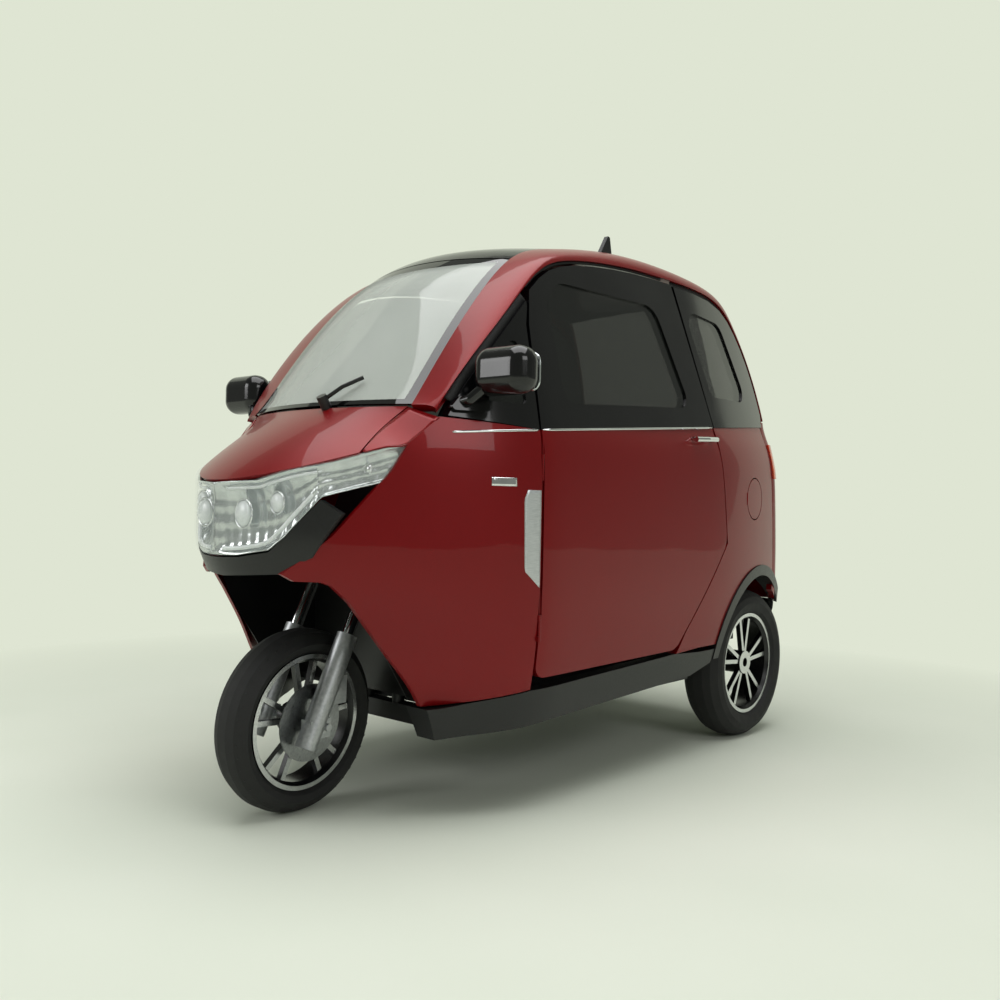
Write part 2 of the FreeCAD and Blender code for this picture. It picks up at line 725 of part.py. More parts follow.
def fork_sliders():
    parts = []
    for side in (-1, 1):
        parts.append(steer_rod(178, 440, 26.0, side * FORK_HALF, FORK_AHEAD))
        x0, x1 = sorted((side * (FORK_HALF - 20), side * (FORK_HALF + 14)))
        parts.append(box(x0, x1, -50, 14, 200, 246))
    end = FORK_HALF + 24
    parts.append(rod((-end, 0, FRONT_WHEEL_R), (end, 0, FRONT_WHEEL_R), FRONT_AXLE_R))
    caliper = box(36, 66, 50, 104, 262, 332).cut(box(44.5, 55.5, 0, 99, 200, 400))
    bracket = box(60, 84, 4, 60, 280, 306)
    return joined(parts + [joined([caliper, bracket])])


def fork_upper():
    parts = [clamp(555, 32, 34)]
    for side in (-1, 1):
        parts.append(steer_rod(440.0, 590, 16.0, side * FORK_HALF, FORK_AHEAD))
    parts.append(steer_rod(560, 812, STEM_R))
    parts.append(steer_rod(800, 899.5, 15.0))
    body = joined(parts)
    return trimmed(body, *[steer_rod(178, 440, 26.0, s * FORK_HALF, FORK_AHEAD) for s in (-1, 1)])


def handlebar():
    z = 905.0
    y = steer_y(z)
    bar = pill([(-300, y + 60, z + 30), (-180, y + 30, z + 35), (-60, y, z + 10), (60, y, z + 10),
                (180, y + 30, z + 35), (300, y + 60, z + 30)], 13.0)
    head = steer_rod(880, 925, 30.0)
    return joined([bar, head]).cut(steer_rod(500, 900, 15.0))


def revolved(profile, x, z, y=0.0):
    """A ring about the line through (y, z) along X; the profile is (offset along X, radius)."""
    wire = Part.makePolygon([V(a, 0, b) for a, b in profile] + [V(profile[0][0], 0, profile[0][1])])
    ring = Part.Face(wire).revolve(V(0, 0, 0), V(1, 0, 0), 360)
    ring.translate(V(x, y, z))
    return ring


def tyre(radius, width, rim_w, x, y):
    w = width / 2.0
    r = rim_w / 2.0
    lip = RIM_R + RIM_LIP + SEAT_GAP
    bead = r - 5.0 - SEAT_GAP - 0.7
    half = [(bead, RIM_R), (bead, lip), (w - 6, RIM_R + 18), (w, (radius + RIM_R) / 2), (w - 6, radius - 24),
            (w * 0.62, radius - 7), (w * 0.25, radius)]
    profile = half + [(-a, b) for a, b in reversed(half)]
    return revolved(profile, x, radius, y)


def rim(radius, rim_w, x, y, face):
    """An alloy rim with five twin spokes; face is +1 or -1, the side its spokes stand on."""
    r = rim_w / 2.0
    barrel = [(-r, RIM_R + RIM_LIP), (-r, RIM_R - 4), (-r + 12, RIM_R - 12), (r - 12, RIM_R - 12),
              (r, RIM_R - 4), (r, RIM_R + RIM_LIP), (r - 5, RIM_R + RIM_LIP), (r - 5.7, RIM_R - 0.3),
              (-r + 5.7, RIM_R - 0.3), (-r + 5, RIM_R + RIM_LIP)]
    body = [revolved(barrel, x, radius, y)]
    x0, x1 = sorted((x + face * (r - 30), x + face * (r - 14)))
    hub0, hub1 = sorted((x - face * 30, x + face * (r - 10)))
    body.append(Part.makeCylinder(38, hub1 - hub0, V(hub0, y, radius), V(1, 0, 0)))
    for k in range(5):
        for lean in (-1, 1):
            spoke = box(x0, x1, y - 6.5, y + 6.5, radius + 20, radius + RIM_R - 8)
            spoke.rotate(V(x, y, radius + 20), V(1, 0, 0), lean * 7.0)
            spoke.rotate(V(x, y, radius), V(1, 0, 0), 72.0 * k + lean * 6.0)
            body.append(spoke)
    return joined(body)


def front_rim():
    body = rim(FRONT_WHEEL_R, FRONT_RIM_W, 0, 0, 1)
    return body.cut(Part.makeCylinder(FRONT_AXLE_R + RUN_FIT, 300, V(-150, 0, FRONT_WHEEL_R), V(1, 0, 0)))


def brake_disc():
    hub_end = FRONT_RIM_W / 2.0 - 10.0
    disc = Part.makeCylinder(95, 4, V(48, 0, FRONT_WHEEL_R), V(1, 0, 0))
    hat = Part.makeCylinder(34, 52 - hub_end, V(hub_end, 0, FRONT_WHEEL_R), V(1, 0, 0))
    bore = Part.makeCylinder(FRONT_AXLE_R + RUN_FIT, 60, V(20, 0, FRONT_WHEEL_R), V(1, 0, 0))
    return joined([disc, hat]).cut(bore)


def rear_rim(side):
    x = side * REAR_TRACK / 2.0
    body = rim(REAR_WHEEL_R, REAR_RIM_W, x, WHEELBASE, side)
    return body.cut(Part.makeCylinder(REAR_AXLE_R + RUN_FIT, 900, V(-450, WHEELBASE, REAR_WHEEL_R), V(1, 0, 0)))


def rear_axle():
    z = REAR_WHEEL_R
    half = REAR_TRACK / 2.0
    beam = rod((-half + 40, WHEELBASE, z), (half - 40, WHEELBASE, z), 32.0)
    stubs = rod((-half - 24, WHEELBASE, z), (half + 24, WHEELBASE, z), REAR_AXLE_R)
    case = Part.makeCylinder(80, 110, V(-60, WHEELBASE, z), V(1, 0, 0))
    motor = rod((50, WHEELBASE - 60, z), (165, WHEELBASE - 60, z), 74.0)
    return joined([beam, stubs, case, motor])


def rear_springs():
    foot = REAR_WHEEL_R + 32.0
    legs = [rod((s * 250, WHEELBASE, foot), (s * 250, WHEELBASE, DECK_Z - DECK_T), 24.0) for s in (-1, 1)]
    return legs


# ---------------------------------------------------------------- trim
def mirror_body():
    shell = box(-MIRROR_W / 2, MIRROR_W / 2, -MIRROR_D / 2, MIRROR_D / 2, -MIRROR_H / 2, MIRROR_H / 2)
    shell = shell.makeFillet(MIRROR_D / 2 - 3.0, shell.Edges)
    shell.translate(V(508, 185, 1074))
    arm = pill([(385, 150, 1002), (430, 150, 1010), (470, 175, 1050)], 13.0)
    foot = side_wall(95, 225, 975, 1030, 14.0, inset=-14.2)
    foot = foot.common(side_prism([(112, 985), (205, 985), (205, 1018), (140, 1018)], 8.0))
    body = joined([shell, arm, foot])
    return body.cut(side_wall(80, 260, 940, 1100, WALL, inset=-0.2))


def wiper(neighbours):
    glass = crown(0.0, HEADER)
    pivot = glass(0.62, 0.01)
    tip = glass(0.74, 0.2)
    left = glass(0.36, 0.17)
    right = glass(0.9, 0.2)
    out = V(0, -9, 8)
    base = rod(tuple(pivot + V(0, -3, -8)), tuple(pivot + V(0, -22, 22)), 13.0)
    arm = pill([tuple(pivot + out * 1.6), tuple((pivot + tip) * 0.5 + out * 1.8), tuple(tip + out)], 5.0)
    blade = pill([tuple(left + out * 0.75), tuple((left + right) * 0.5 + out * 0.9), tuple(right + out * 0.75)], 4.0)
    return trimmed(joined([base, arm, blade]), *neighbours)


def antenna(roof_body):
    tip = ANTENNA_H
    fin = Part.makePolygon([V(0, -45, 0), V(0, 25, 0), V(0, 10, tip - 2), V(0, 0, tip), V(0, -45, 0)])
    body = Part.Face(fin).extrude(V(ANTENNA_T, 0, 0))
    body.translate(V(ANTENNA_X - ANTENNA_T / 2.0, ANTENNA_Y, ROOF_Z - 18.0))
    return trimmed(body, roof_body)


def flap_hinge():
    """Where the charging flap's hinge pin stands: at its front edge, in the skin."""
    y = FLAP_Y - FLAP_R - FLAP_GAP / 2.0
    return side_x(y, FLAP_Z) - 1.0, y


def charge_flap():
    wall = side_wall(1380, 1580, 700, 900, 6.0)
    body = wall.common(Part.makeCylinder(FLAP_R, 400, V(200, FLAP_Y, FLAP_Z), V(1, 0, 0)))
    x, y = flap_hinge()
    body = trimmed(body, Part.makeCylinder(3.6, 60, V(x, y, FLAP_Z - 30)))
    barrel = hinge_barrel(x, y, FLAP_Z, 12.0, 3.0, 1.5)
    leaf = box(x - 4.7, x - 1.7, y, y + 10, FLAP_Z - 12, FLAP_Z + 12)
    body = joined([body, barrel, leaf])
    return body.cut(Part.makeCylinder(1.5 + RUN_FIT, 60, V(x, y, FLAP_Z - 30)))


# ---------------------------------------------------------------- write the pieces
def save(name, shape):
    shape = shape.copy()
    shape.translate(V(0, -ORIGIN_Y, 0))
    shape.exportStep(os.path.join(OUT, name + ".step"))


def save_pair(name, left):
    save(name + "_left", left)
    save(name + "_right", mirrored(left))


def front_body():
    """The nose: lamp, bonnet, lower nose, fenders and the tunnel over the wheel."""
    lens = headlamp_lens()
    hood = bonnet()
    housing = trimmed(headlamp_housing(), hood, lens)
    nose = trimmed(nose_panel(), lens, housing)
    save("bonnet", trimmed(hood, lens))
    save("headlamp_lens", lens)
    save("headlamp_housing", housing)
    save("nose_panel", nose)
    wing = fender([lens, housing, nose, hood])
    save_pair("fender", wing)
    frame = chassis_frame()
    save("chassis_frame", frame)
    tunnel = trimmed(front_shroud(), wing, mirrored(wing), housing, frame)
    save("front_shroud", Part.makeCompound([tunnel, trimmed(firewall(), wing, mirrored(wing), frame)]))
    save("dashboard", dashboard())
    return hood


def greenhouse(hood):
    """Roof, glass and the frames round the side windows."""
    rails = roof_rail()
    both = (rails, mirrored(rails))
    lamp = tail_lamp()
    tail = trimmed(tail_panel(lamp), *both)
    roof = trimmed(roof_panel(), *both)
    glass = trimmed(windshield(), roof, *both)
    save("roof_panel", roof)
    save("windshield", glass)
    save("rear_window", trimmed(rear_window(), tail, roof, *both))
    save("tail_panel", tail)
    bumper = rear_bumper()
    save("rear_bumper", bumper)
    save("tail_lamps", Part.makeCompound([lamp, mirrored(lamp)]))
    save_pair("roof_rail", trimmed(rails, mirrored(rails)))
    for name, left in (("front_frames", front_frame()), ("rear_frames", rear_frame(tail))):
        save(name, Part.makeCompound([left, mirrored(left)]))
    save_pair("quarter_panel", quarter_panel(tail))
    side = sill()
    save("sills", Part.makeCompound([side, mirrored(side)]))
    trim = arch_trim([side, tail, bumper, rear_tub()])
    save("arch_trims", Part.makeCompound([trim, mirrored(trim)]))
    panes = [pane(TRIANGLE_GLASS, TRIANGLE_GLASS_R, 170, 340), pane(QUARTER_GLASS, QUARTER_GLASS_R, 1130, 1560)]
    save("side_glass", Part.makeCompound(panes + [mirrored(p) for p in panes]))
    save("wiper", wiper([glass, hood]))
    save("antenna", antenna(roof))
    save_pair("door_frame", door_frame())


def main():
    os.makedirs("parts", exist_ok=True)
    save("floor_pan", floor_pan())
    save("rear_tub", rear_tub())
    save("battery_pack", battery_pack())
    greenhouse(front_body())
    save("driver_seat", driver_seat())
    save("rear_bench", Part.makeCompound([rear_bench(), bench_back()]))
    save_pair("door_panel", door_panel())
    save_pair("door_glass", door_glass())
    save_pair("door_handle", door_handle())
    mirror = mirror_body()
    save("mirrors", Part.makeCompound([mirror, mirrored(mirror)]))
    save("charge_flap", charge_flap())
    save("fork_sliders", steered(fork_sliders()))
    save("fork_upper", steered(fork_upper()))
    save("handlebar", steered(handlebar()))
    save("front_tyre", steered(tyre(FRONT_WHEEL_R, FRONT_TYRE_W, FRONT_RIM_W, 0, 0)))
    save("front_rim", steered(front_rim()))
    save("brake_disc", steered(brake_disc()))
    for side, name in ((1, "left"), (-1, "right")):
        x = side * REAR_TRACK / 2.0
        save("rear_tyre_" + name, tyre(REAR_WHEEL_R, REAR_TYRE_W, REAR_RIM_W, x, WHEELBASE))
        save("rear_rim_" + name, rear_rim(side))
    save("rear_axle", Part.makeCompound([rear_axle()] + rear_springs()))


main()
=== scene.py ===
"""Looks of the electric cabin scooter: paint, glass, tyres, seats, lamps and trim on the fixed CAD frame."""
import bpy
import bmesh
import math
from mathutils import Matrix, Vector


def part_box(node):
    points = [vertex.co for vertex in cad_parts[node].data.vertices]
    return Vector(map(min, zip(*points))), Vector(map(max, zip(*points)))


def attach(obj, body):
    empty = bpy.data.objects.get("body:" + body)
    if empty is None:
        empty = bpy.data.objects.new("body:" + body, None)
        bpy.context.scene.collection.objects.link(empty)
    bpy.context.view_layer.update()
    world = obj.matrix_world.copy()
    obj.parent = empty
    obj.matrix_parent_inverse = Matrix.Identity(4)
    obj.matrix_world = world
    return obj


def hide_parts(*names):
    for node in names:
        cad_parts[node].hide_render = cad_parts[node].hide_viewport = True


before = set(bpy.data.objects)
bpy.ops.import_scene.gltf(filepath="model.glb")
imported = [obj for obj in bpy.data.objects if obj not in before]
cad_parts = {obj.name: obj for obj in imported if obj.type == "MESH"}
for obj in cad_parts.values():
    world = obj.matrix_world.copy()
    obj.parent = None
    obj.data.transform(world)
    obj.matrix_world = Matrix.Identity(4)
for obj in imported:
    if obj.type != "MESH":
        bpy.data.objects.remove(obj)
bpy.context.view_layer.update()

# the front wheel's contact point, from which the body's stations are counted (metres)
ORIGIN_Y = 0.771
WHEELBASE = 1.55
FRONT_R = 0.225
REAR_R = 0.247
REAR_HALF_TRACK = 0.376

# the windscreen's fired band, in the frame (metres): its side edge at y = 0, its foot and its head
BAND_EDGE_X = 0.242
BAND_LOW_Z = 1.012
BAND_TOP_Z = 1.405


# ---------------------------------------------------------------- colour and node helpers
def linear(code):
    """An sRGB hex colour as linear RGBA."""
    parts = [int(code[i:i + 2], 16) / 255.0 for i in (1, 3, 5)]
    return tuple(c / 12.92 if c <= 0.04045 else ((c + 0.055) / 1.055) ** 2.4 for c in parts) + (1.0,)


def new_material(name):
    material = bpy.data.materials.new(name)
    material.use_nodes = True
    tree = material.node_tree
    return material, tree, tree.nodes["Principled BSDF"]


def add(tree, kind, inputs=None, **settings):
    node = tree.nodes.new(kind)
    for key, value in settings.items():
        setattr(node, key, value)
    for key, value in (inputs or {}).items():
        node.inputs[key].default_value = value
    return node


def ramp(tree, source, low, high, a, b):
    node = add(tree, "ShaderNodeValToRGB")
    node.color_ramp.elements[0].position = low
    node.color_ramp.elements[1].position = high
    node.color_ramp.elements[0].color = a
    node.color_ramp.elements[1].color = b
    tree.links.new(source, node.inputs["Fac"])
    return node.outputs["Color"]


def noise(tree, scale, detail=3.0, stretch=(1, 1, 1)):
    place = add(tree, "ShaderNodeTexCoord")
    scaled = add(tree, "ShaderNodeMapping", {"Scale": stretch})
    tree.links.new(place.outputs["Object"], scaled.inputs["Vector"])
    node = add(tree, "ShaderNodeTexNoise", {"Scale": scale, "Detail": detail})
    tree.links.new(scaled.outputs["Vector"], node.inputs["Vector"])
    return node.outputs["Fac"]


def bump(tree, shader, source, strength, distance):
    node = add(tree, "ShaderNodeBump", {"Strength": strength, "Distance": distance})
    tree.links.new(source, node.inputs["Height"])
    tree.links.new(node.outputs["Normal"], shader.inputs["Normal"])


def surface(name, code, code2, rough, rough2, scale, bump_mm=0.0, metal=0.0, coat=0.0, stretch=(1, 1, 1)):
    """A plain finish with slight change of colour and gloss across it, and a fine relief."""
    material, tree, shader = new_material(name)
    field = noise(tree, scale, 4.0, stretch)
    tree.links.new(ramp(tree, field, 0.3, 0.7, linear(code), linear(code2)), shader.inputs["Base Color"])
    level = ramp(tree, field, 0.25, 0.75, (rough,) * 3 + (1,), (rough2,) * 3 + (1,))
    tree.links.new(level, shader.inputs["Roughness"])
    shader.inputs["Metallic"].default_value = metal
    shader.inputs["Coat Weight"].default_value = coat
    shader.inputs["Coat Roughness"].default_value = 0.04
    if bump_mm:
        bump(tree, shader, field, 0.35, bump_mm / 1000.0)
    return material


def red_paint():
    """Wine-red metallic lacquer: fine flake under a thin clear coat, with slow cloudy changes of depth."""
    material, tree, shader = new_material("metallic_red_lacquer_sprayed")
    flake = noise(tree, 2600.0, 2.0)
    cloud = noise(tree, 3.0, 2.0)
    base = ramp(tree, flake, 0.35, 0.7, linear("#6A0207"), linear("#8E070D"))
    tint = add(tree, "ShaderNodeMixRGB", {"Fac": 0.25}, blend_type="MULTIPLY")
    tree.links.new(base, tint.inputs["Color1"])
    tree.links.new(ramp(tree, cloud, 0.2, 0.8, linear("#D8D8D8"), linear("#FFFFFF")), tint.inputs["Color2"])
    tree.links.new(tint.outputs["Color"], shader.inputs["Base Color"])
    shader.inputs["Metallic"].default_value = 0.3
    shader.inputs["Roughness"].default_value = 0.34
    shader.inputs["Specular IOR Level"].default_value = 0.22
    shader.inputs["Coat Weight"].default_value = 0.3
    shader.inputs["Coat Roughness"].default_value = 0.03
    return material


def glass(name, tint, tint2, alpha, rough=0.02):
    """Thin glazing: see-through, with a sharp reflection, and a faint change of tint where it is dusty."""
    material, tree, shader = new_material(name)
    film = noise(tree, 3.0, 2.0)
    tree.links.new(ramp(tree, film, 0.3, 0.7, linear(tint), linear(tint2)), shader.inputs["Base Color"])
    shader.inputs["Roughness"].default_value = rough
    shader.inputs["Alpha"].default_value = alpha
    shader.inputs["Specular IOR Level"].default_value = 0.7
    return material, tree, shader


def math_node(tree, operation, first, second):
    """One sum on two values, each a socket or a number."""
    node = add(tree, "ShaderNodeMath", operation=operation)
    for place, value in enumerate((first, second)):
        if isinstance(value, (int, float)):
            node.inputs[place].default_value = value
        else:
            tree.links.new(value, node.inputs[place])
    return node.outputs["Value"]


def windscreen_glass():
    """Laminated windscreen with the black ceramic band fired on round its edge and a deep band at the top."""
    material, tree, shader = glass("laminated_glass_with_fired_band", "#D6DDD6", "#E0E6DF", 0.4)
    place = add(tree, "ShaderNodeTexCoord")
    split = add(tree, "ShaderNodeSeparateXYZ")
    tree.links.new(place.outputs["Object"], split.inputs["Vector"])
    across = math_node(tree, "ABSOLUTE", split.outputs["X"], 0.0)
    edge = math_node(tree, "MULTIPLY_ADD", split.outputs["Y"], -0.062)
    edge.node.inputs[2].default_value = BAND_EDGE_X
    side_band = math_node(tree, "GREATER_THAN", across, edge)
    low_band = math_node(tree, "LESS_THAN", split.outputs["Z"], BAND_LOW_Z)
    top_band = math_node(tree, "GREATER_THAN", split.outputs["Z"], BAND_TOP_Z)
    band = math_node(tree, "MAXIMUM", math_node(tree, "MAXIMUM", side_band, low_band), top_band)
    black = add(tree, "ShaderNodeMixRGB", {"Color2": linear("#0A0B0B")}, blend_type="MIX")
    tree.links.new(shader.inputs["Base Color"].links[0].from_socket, black.inputs["Color1"])
    tree.links.new(band, black.inputs["Fac"])
    tree.links.new(black.outputs["Color"], shader.inputs["Base Color"])
    tree.links.new(math_node(tree, "MAXIMUM", band, 0.4), shader.inputs["Alpha"])
    return material


def wheel_alloy(name, y, z):
    """Cast alloy wheel: black lacquer in the pockets and bare turned metal on the outward faces."""
    material, tree, shader = new_material(name)
    place = add(tree, "ShaderNodeTexCoord")
    facing = add(tree, "ShaderNodeSeparateXYZ")
    tree.links.new(place.outputs["Normal"], facing.inputs["Vector"])
    outward = math_node(tree, "GREATER_THAN", math_node(tree, "ABSOLUTE", facing.outputs["X"], 0.0), 0.93)
    spot = add(tree, "ShaderNodeMapping", {"Location": (0.0, -y, -z)})
    tree.links.new(place.outputs["Object"], spot.inputs["Vector"])
    rings = add(tree, "ShaderNodeTexNoise", {"Scale": 260.0, "Detail": 2.0})
    tree.links.new(spot.outputs["Vector"], rings.inputs["Vector"])
    tone = ramp(tree, rings.outputs["Fac"], 0.3, 0.7, linear("#C9CBCC"), linear("#E3E4E5"))
    mix = add(tree, "ShaderNodeMixRGB", {"Color1": linear("#0C0C0D")}, blend_type="MIX")
    tree.links.new(outward, mix.inputs["Fac"])
    tree.links.new(tone, mix.inputs["Color2"])
    tree.links.new(mix.outputs["Color"], shader.inputs["Base Color"])
    tree.links.new(outward, shader.inputs["Metallic"])
    shader.inputs["Roughness"].default_value = 0.27
    return material


def tyre_rubber():
    """Black tyre rubber with a matt bloom that is a little greyer in patches."""
    return surface("moulded_tyre_rubber", "#121212", "#202020", 0.62, 0.85, 45.0, 0.25)


def seat_vinyl():
    """Embossed black vinyl: a fine leather grain with soft sheen."""
    material, tree, shader = new_material("embossed_vinyl_upholstery")
    place = add(tree, "ShaderNodeTexCoord")
    grain = add(tree, "ShaderNodeTexVoronoi", {"Scale": 420.0})
    tree.links.new(place.outputs["Object"], grain.inputs["Vector"])
    tone = ramp(tree, noise(tree, 9.0), 0.3, 0.7, linear("#1C1B1C"), linear("#2B2A2B"))
    tree.links.new(tone, shader.inputs["Base Color"])
    shader.inputs["Roughness"].default_value = 0.5
    bump(tree, shader, grain.outputs["Distance"], 0.4, 0.0006)
    return material


RED = red_paint()
GLOSS_BLACK = surface("gloss_black_moulded_abs", "#040405", "#08080A", 0.1, 0.18, 6.0, 0.0, 0.0, 0.1)
SATIN_BLACK = surface("satin_black_moulded_pp", "#0A0A0B", "#121213", 0.3, 0.44, 160.0, 0.1)
STEEL_BLACK = surface("powder_coated_black_steel", "#101011", "#1A1A1B", 0.45, 0.62, 220.0, 0.12)
INTERIOR = surface("grained_grey_interior_plastic", "#2A2A2B", "#353536", 0.5, 0.66, 180.0, 0.2)
WINDSCREEN = windscreen_glass()
CLEAR = glass("clear_laminated_glass", "#9AA69F", "#A9B4AD", 0.16)[0]
# side and door glass: the near-black colour and high alpha are painted shade standing for the dark cab
# interior seen through it, not the glass's own tint
SIDE_GLASS_PAINTED_SHADE = glass("side_glass_painted_dark_as_cab_shade", "#080A09", "#0E110F", 0.8)[0]
LENS = glass("clear_polycarbonate_lens", "#DCE4E6", "#E6ECED", 0.09)[0]
REFLECTOR = surface("vacuum_metallised_reflector", "#C6CBCB", "#E0E4E3", 0.12, 0.24, 30.0, 0.0, 0.85)
LAMP_RED = surface("red_orange_lamp_acrylic", "#C22A12", "#E0602A", 0.08, 0.14, 12.0, 0.0, 0.0, 1.0)
CAST = surface("cast_aluminium_clear_coated", "#A9ACAE", "#C2C4C5", 0.34, 0.5, 120.0, 0.12, 0.9)
CHROME = surface("bright_chrome_plate", "#D5D7D8", "#E4E5E6", 0.06, 0.12, 20.0, 0.0, 1.0)
FRONT_ALLOY = wheel_alloy("turned_front_alloy", -ORIGIN_Y, FRONT_R)
REAR_ALLOY = wheel_alloy("turned_rear_alloy", WHEELBASE - ORIGIN_Y, REAR_R)
DISC = surface("ground_steel_disc", "#8E9091", "#A9ABAC", 0.26, 0.4, 140.0, 0.05, 1.0, 0.0, (10, 1, 1))
TYRE = tyre_rubber()
VINYL = seat_vinyl()
PLATE = surface("brushed_neutral_plate", "#B9BDBE", "#CFD2D3", 0.3, 0.42, 60.0, 0.05, 0.5, 0.2, (1, 1, 12))
SEAL = surface("extruded_epdm_seal", "#0B0B0B", "#131313", 0.6, 0.75, 90.0, 0.1)
GUIDE = surface("frosted_white_light_guide", "#E3E8E8", "#F2F5F5", 0.2, 0.34, 40.0, 0.0, 0.0, 0.6)
MIRROR = surface("silvered_mirror_glass", "#C4CACC", "#CED3D5", 0.02, 0.04, 4.0, 0.0, 1.0)

MATERIALS = {
    RED: ["bonnet", "fender_left", "fender_right", "roof_rail_left", "roof_rail_right",
          "quarter_panel_left", "quarter_panel_right", "tail_panel", "door_panel_left",
          "door_panel_right", "charge_flap"],
    GLOSS_BLACK: ["roof_panel", "door_frame_left", "door_frame_right", "front_frames",
                  "rear_frames", "mirrors"],
    SATIN_BLACK: ["nose_panel", "front_shroud", "sills", "arch_trims", "rear_bumper", "wiper", "antenna"],
    INTERIOR: ["dashboard", "rear_tub", "floor_pan"],
    WINDSCREEN: ["windshield"],
    CLEAR: ["rear_window"],
    SIDE_GLASS_PAINTED_SHADE: ["side_glass", "door_glass_left", "door_glass_right"],
    LENS: ["headlamp_lens"],
    REFLECTOR: ["headlamp_housing"],
    LAMP_RED: ["tail_lamps"],
    STEEL_BLACK: ["chassis_frame", "battery_pack", "rear_axle", "handlebar"],
    CAST: ["fork_sliders"],
    CHROME: ["fork_upper", "door_handle_left", "door_handle_right"],
    FRONT_ALLOY: ["front_rim"],
    REAR_ALLOY: ["rear_rim_left", "rear_rim_right"],
    DISC: ["brake_disc"],
    TYRE: ["front_tyre", "rear_tyre_left", "rear_tyre_right"],
    VINYL: ["driver_seat", "rear_bench"],
}


def dress_nodes():
    for material, names in MATERIALS.items():
        for name in names:
            data = bpy.data.objects[name].data
            data.materials.clear()
            data.materials.append(material)


# ---------------------------------------------------------------- mesh helpers
def finish_mesh(name, mesh, material, body, smooth=True):
    bmesh.ops.recalc_face_normals(mesh, faces=mesh.faces)
    data = bpy.data.meshes.new(name)
    mesh.to_mesh(data)
    mesh.free()
    for polygon in data.polygons:
        polygon.use_smooth = smooth
    data.materials.append(material)
    piece = bpy.data.objects.new(name, data)
    bpy.context.scene.collection.objects.link(piece)
    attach(piece, body)
    return piece


def at(x, y, z):
    """A point given from the front wheel's contact, in millimetres, as a place in the frame."""
    return Vector((x / 1000.0, y / 1000.0 - ORIGIN_Y, z / 1000.0))


def soft_box(mesh, low, high, radius=0.03):
    """A closed cushion form with rounded edges."""
    size = [h - l for l, h in zip(low, high)]
    middle = [(l + h) / 2 for l, h in zip(low, high)]
    made = bmesh.ops.create_cube(mesh, size=1.0)
    verts = made["verts"]
    bmesh.ops.scale(mesh, vec=size, verts=verts)
    bmesh.ops.translate(mesh, vec=middle, verts=verts)
    edges = list({e for v in verts for e in v.link_edges})
    bmesh.ops.bevel(mesh, geom=edges, offset=radius, segments=5, profile=0.5, affect="EDGES", material=-1)


def cushion(name, low, high, tilt, pivot, channels):
    """An upholstered pad with sewn channels across it."""
    mesh = bmesh.new()
    soft_box(mesh, low, high)
    for k in range(9):
        x = low[0] + (high[0] - low[0]) * (k + 1) / 10.0
        cut = mesh.verts[:] + mesh.edges[:] + mesh.faces[:]
        bmesh.ops.bisect_plane(mesh, geom=cut, plane_co=(x, 0, 0), plane_no=(1, 0, 0))
    for k in range(13):
        share = (k + 1) / 14.0
        axis = 1 if (high[1] - low[1]) > (high[2] - low[2]) else 2
        spot = [0, 0, 0]
        spot[axis] = low[axis] + (high[axis] - low[axis]) * share
        normal = [0, 0, 0]
        normal[axis] = 1
        cut = mesh.verts[:] + mesh.edges[:] + mesh.faces[:]
        bmesh.ops.bisect_plane(mesh, geom=cut, plane_co=spot, plane_no=normal)
    axis = 1 if (high[1] - low[1]) > (high[2] - low[2]) else 2
    face = 2 if axis == 1 else 1
    thick = high[face] - low[face]
    for v in mesh.verts:
        share = (v.co[axis] - low[axis]) / (high[axis] - low[axis])
        wave = abs(math.sin(math.pi * channels * share))
        depth = 0.012 * (1.0 - wave) ** 3
        sign = 1 if v.co[face] > (low[face] + high[face]) / 2 else -1
        if face == 2 and sign < 0:
            continue
        v.co[face] -= sign * min(depth, thick * 0.2)
    bmesh.ops.rotate(mesh, cent=pivot, matrix=Matrix.Rotation(math.radians(tilt), 3, "X"), verts=mesh.verts)
    piece = finish_mesh(name, mesh, VINYL, "cab")
    subdivide = piece.modifiers.new("soft", "SUBSURF")
    subdivide.levels = 1
    subdivide.render_levels = 1
    return piece


def seats():
    base = (0, 0, 0)
    low, high = at(-207, 643, 561), at(207, 1057, 639)
    seat = cushion("driver_seat_cushion", low, high, 0, base, 4)
    low, high = at(-197, 1003, 642), at(197, 1077, 1066)
    back = cushion("driver_seat_back", low, high, -12, at(0, 1000, 640), 5)
    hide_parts("driver_seat")
    low, high = at(-357, 1243, 592), at(357, 1597, 689)
    bench = cushion("rear_bench_cushion", low, high, 0, base, 4)
    low, high = at(-347, 1563, 697), at(347, 1617, 1020)
    rest = cushion("rear_bench_back", low, high, -10, at(0, 1560, 693.5), 4)
    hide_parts("rear_bench")


# ---------------------------------------------------------------- tyres
# how far the middle of a tread block lies inside the tyre's own radius (metres)
TREAD_SINK = 0.0092
TREAD_BEVEL = 0.0012


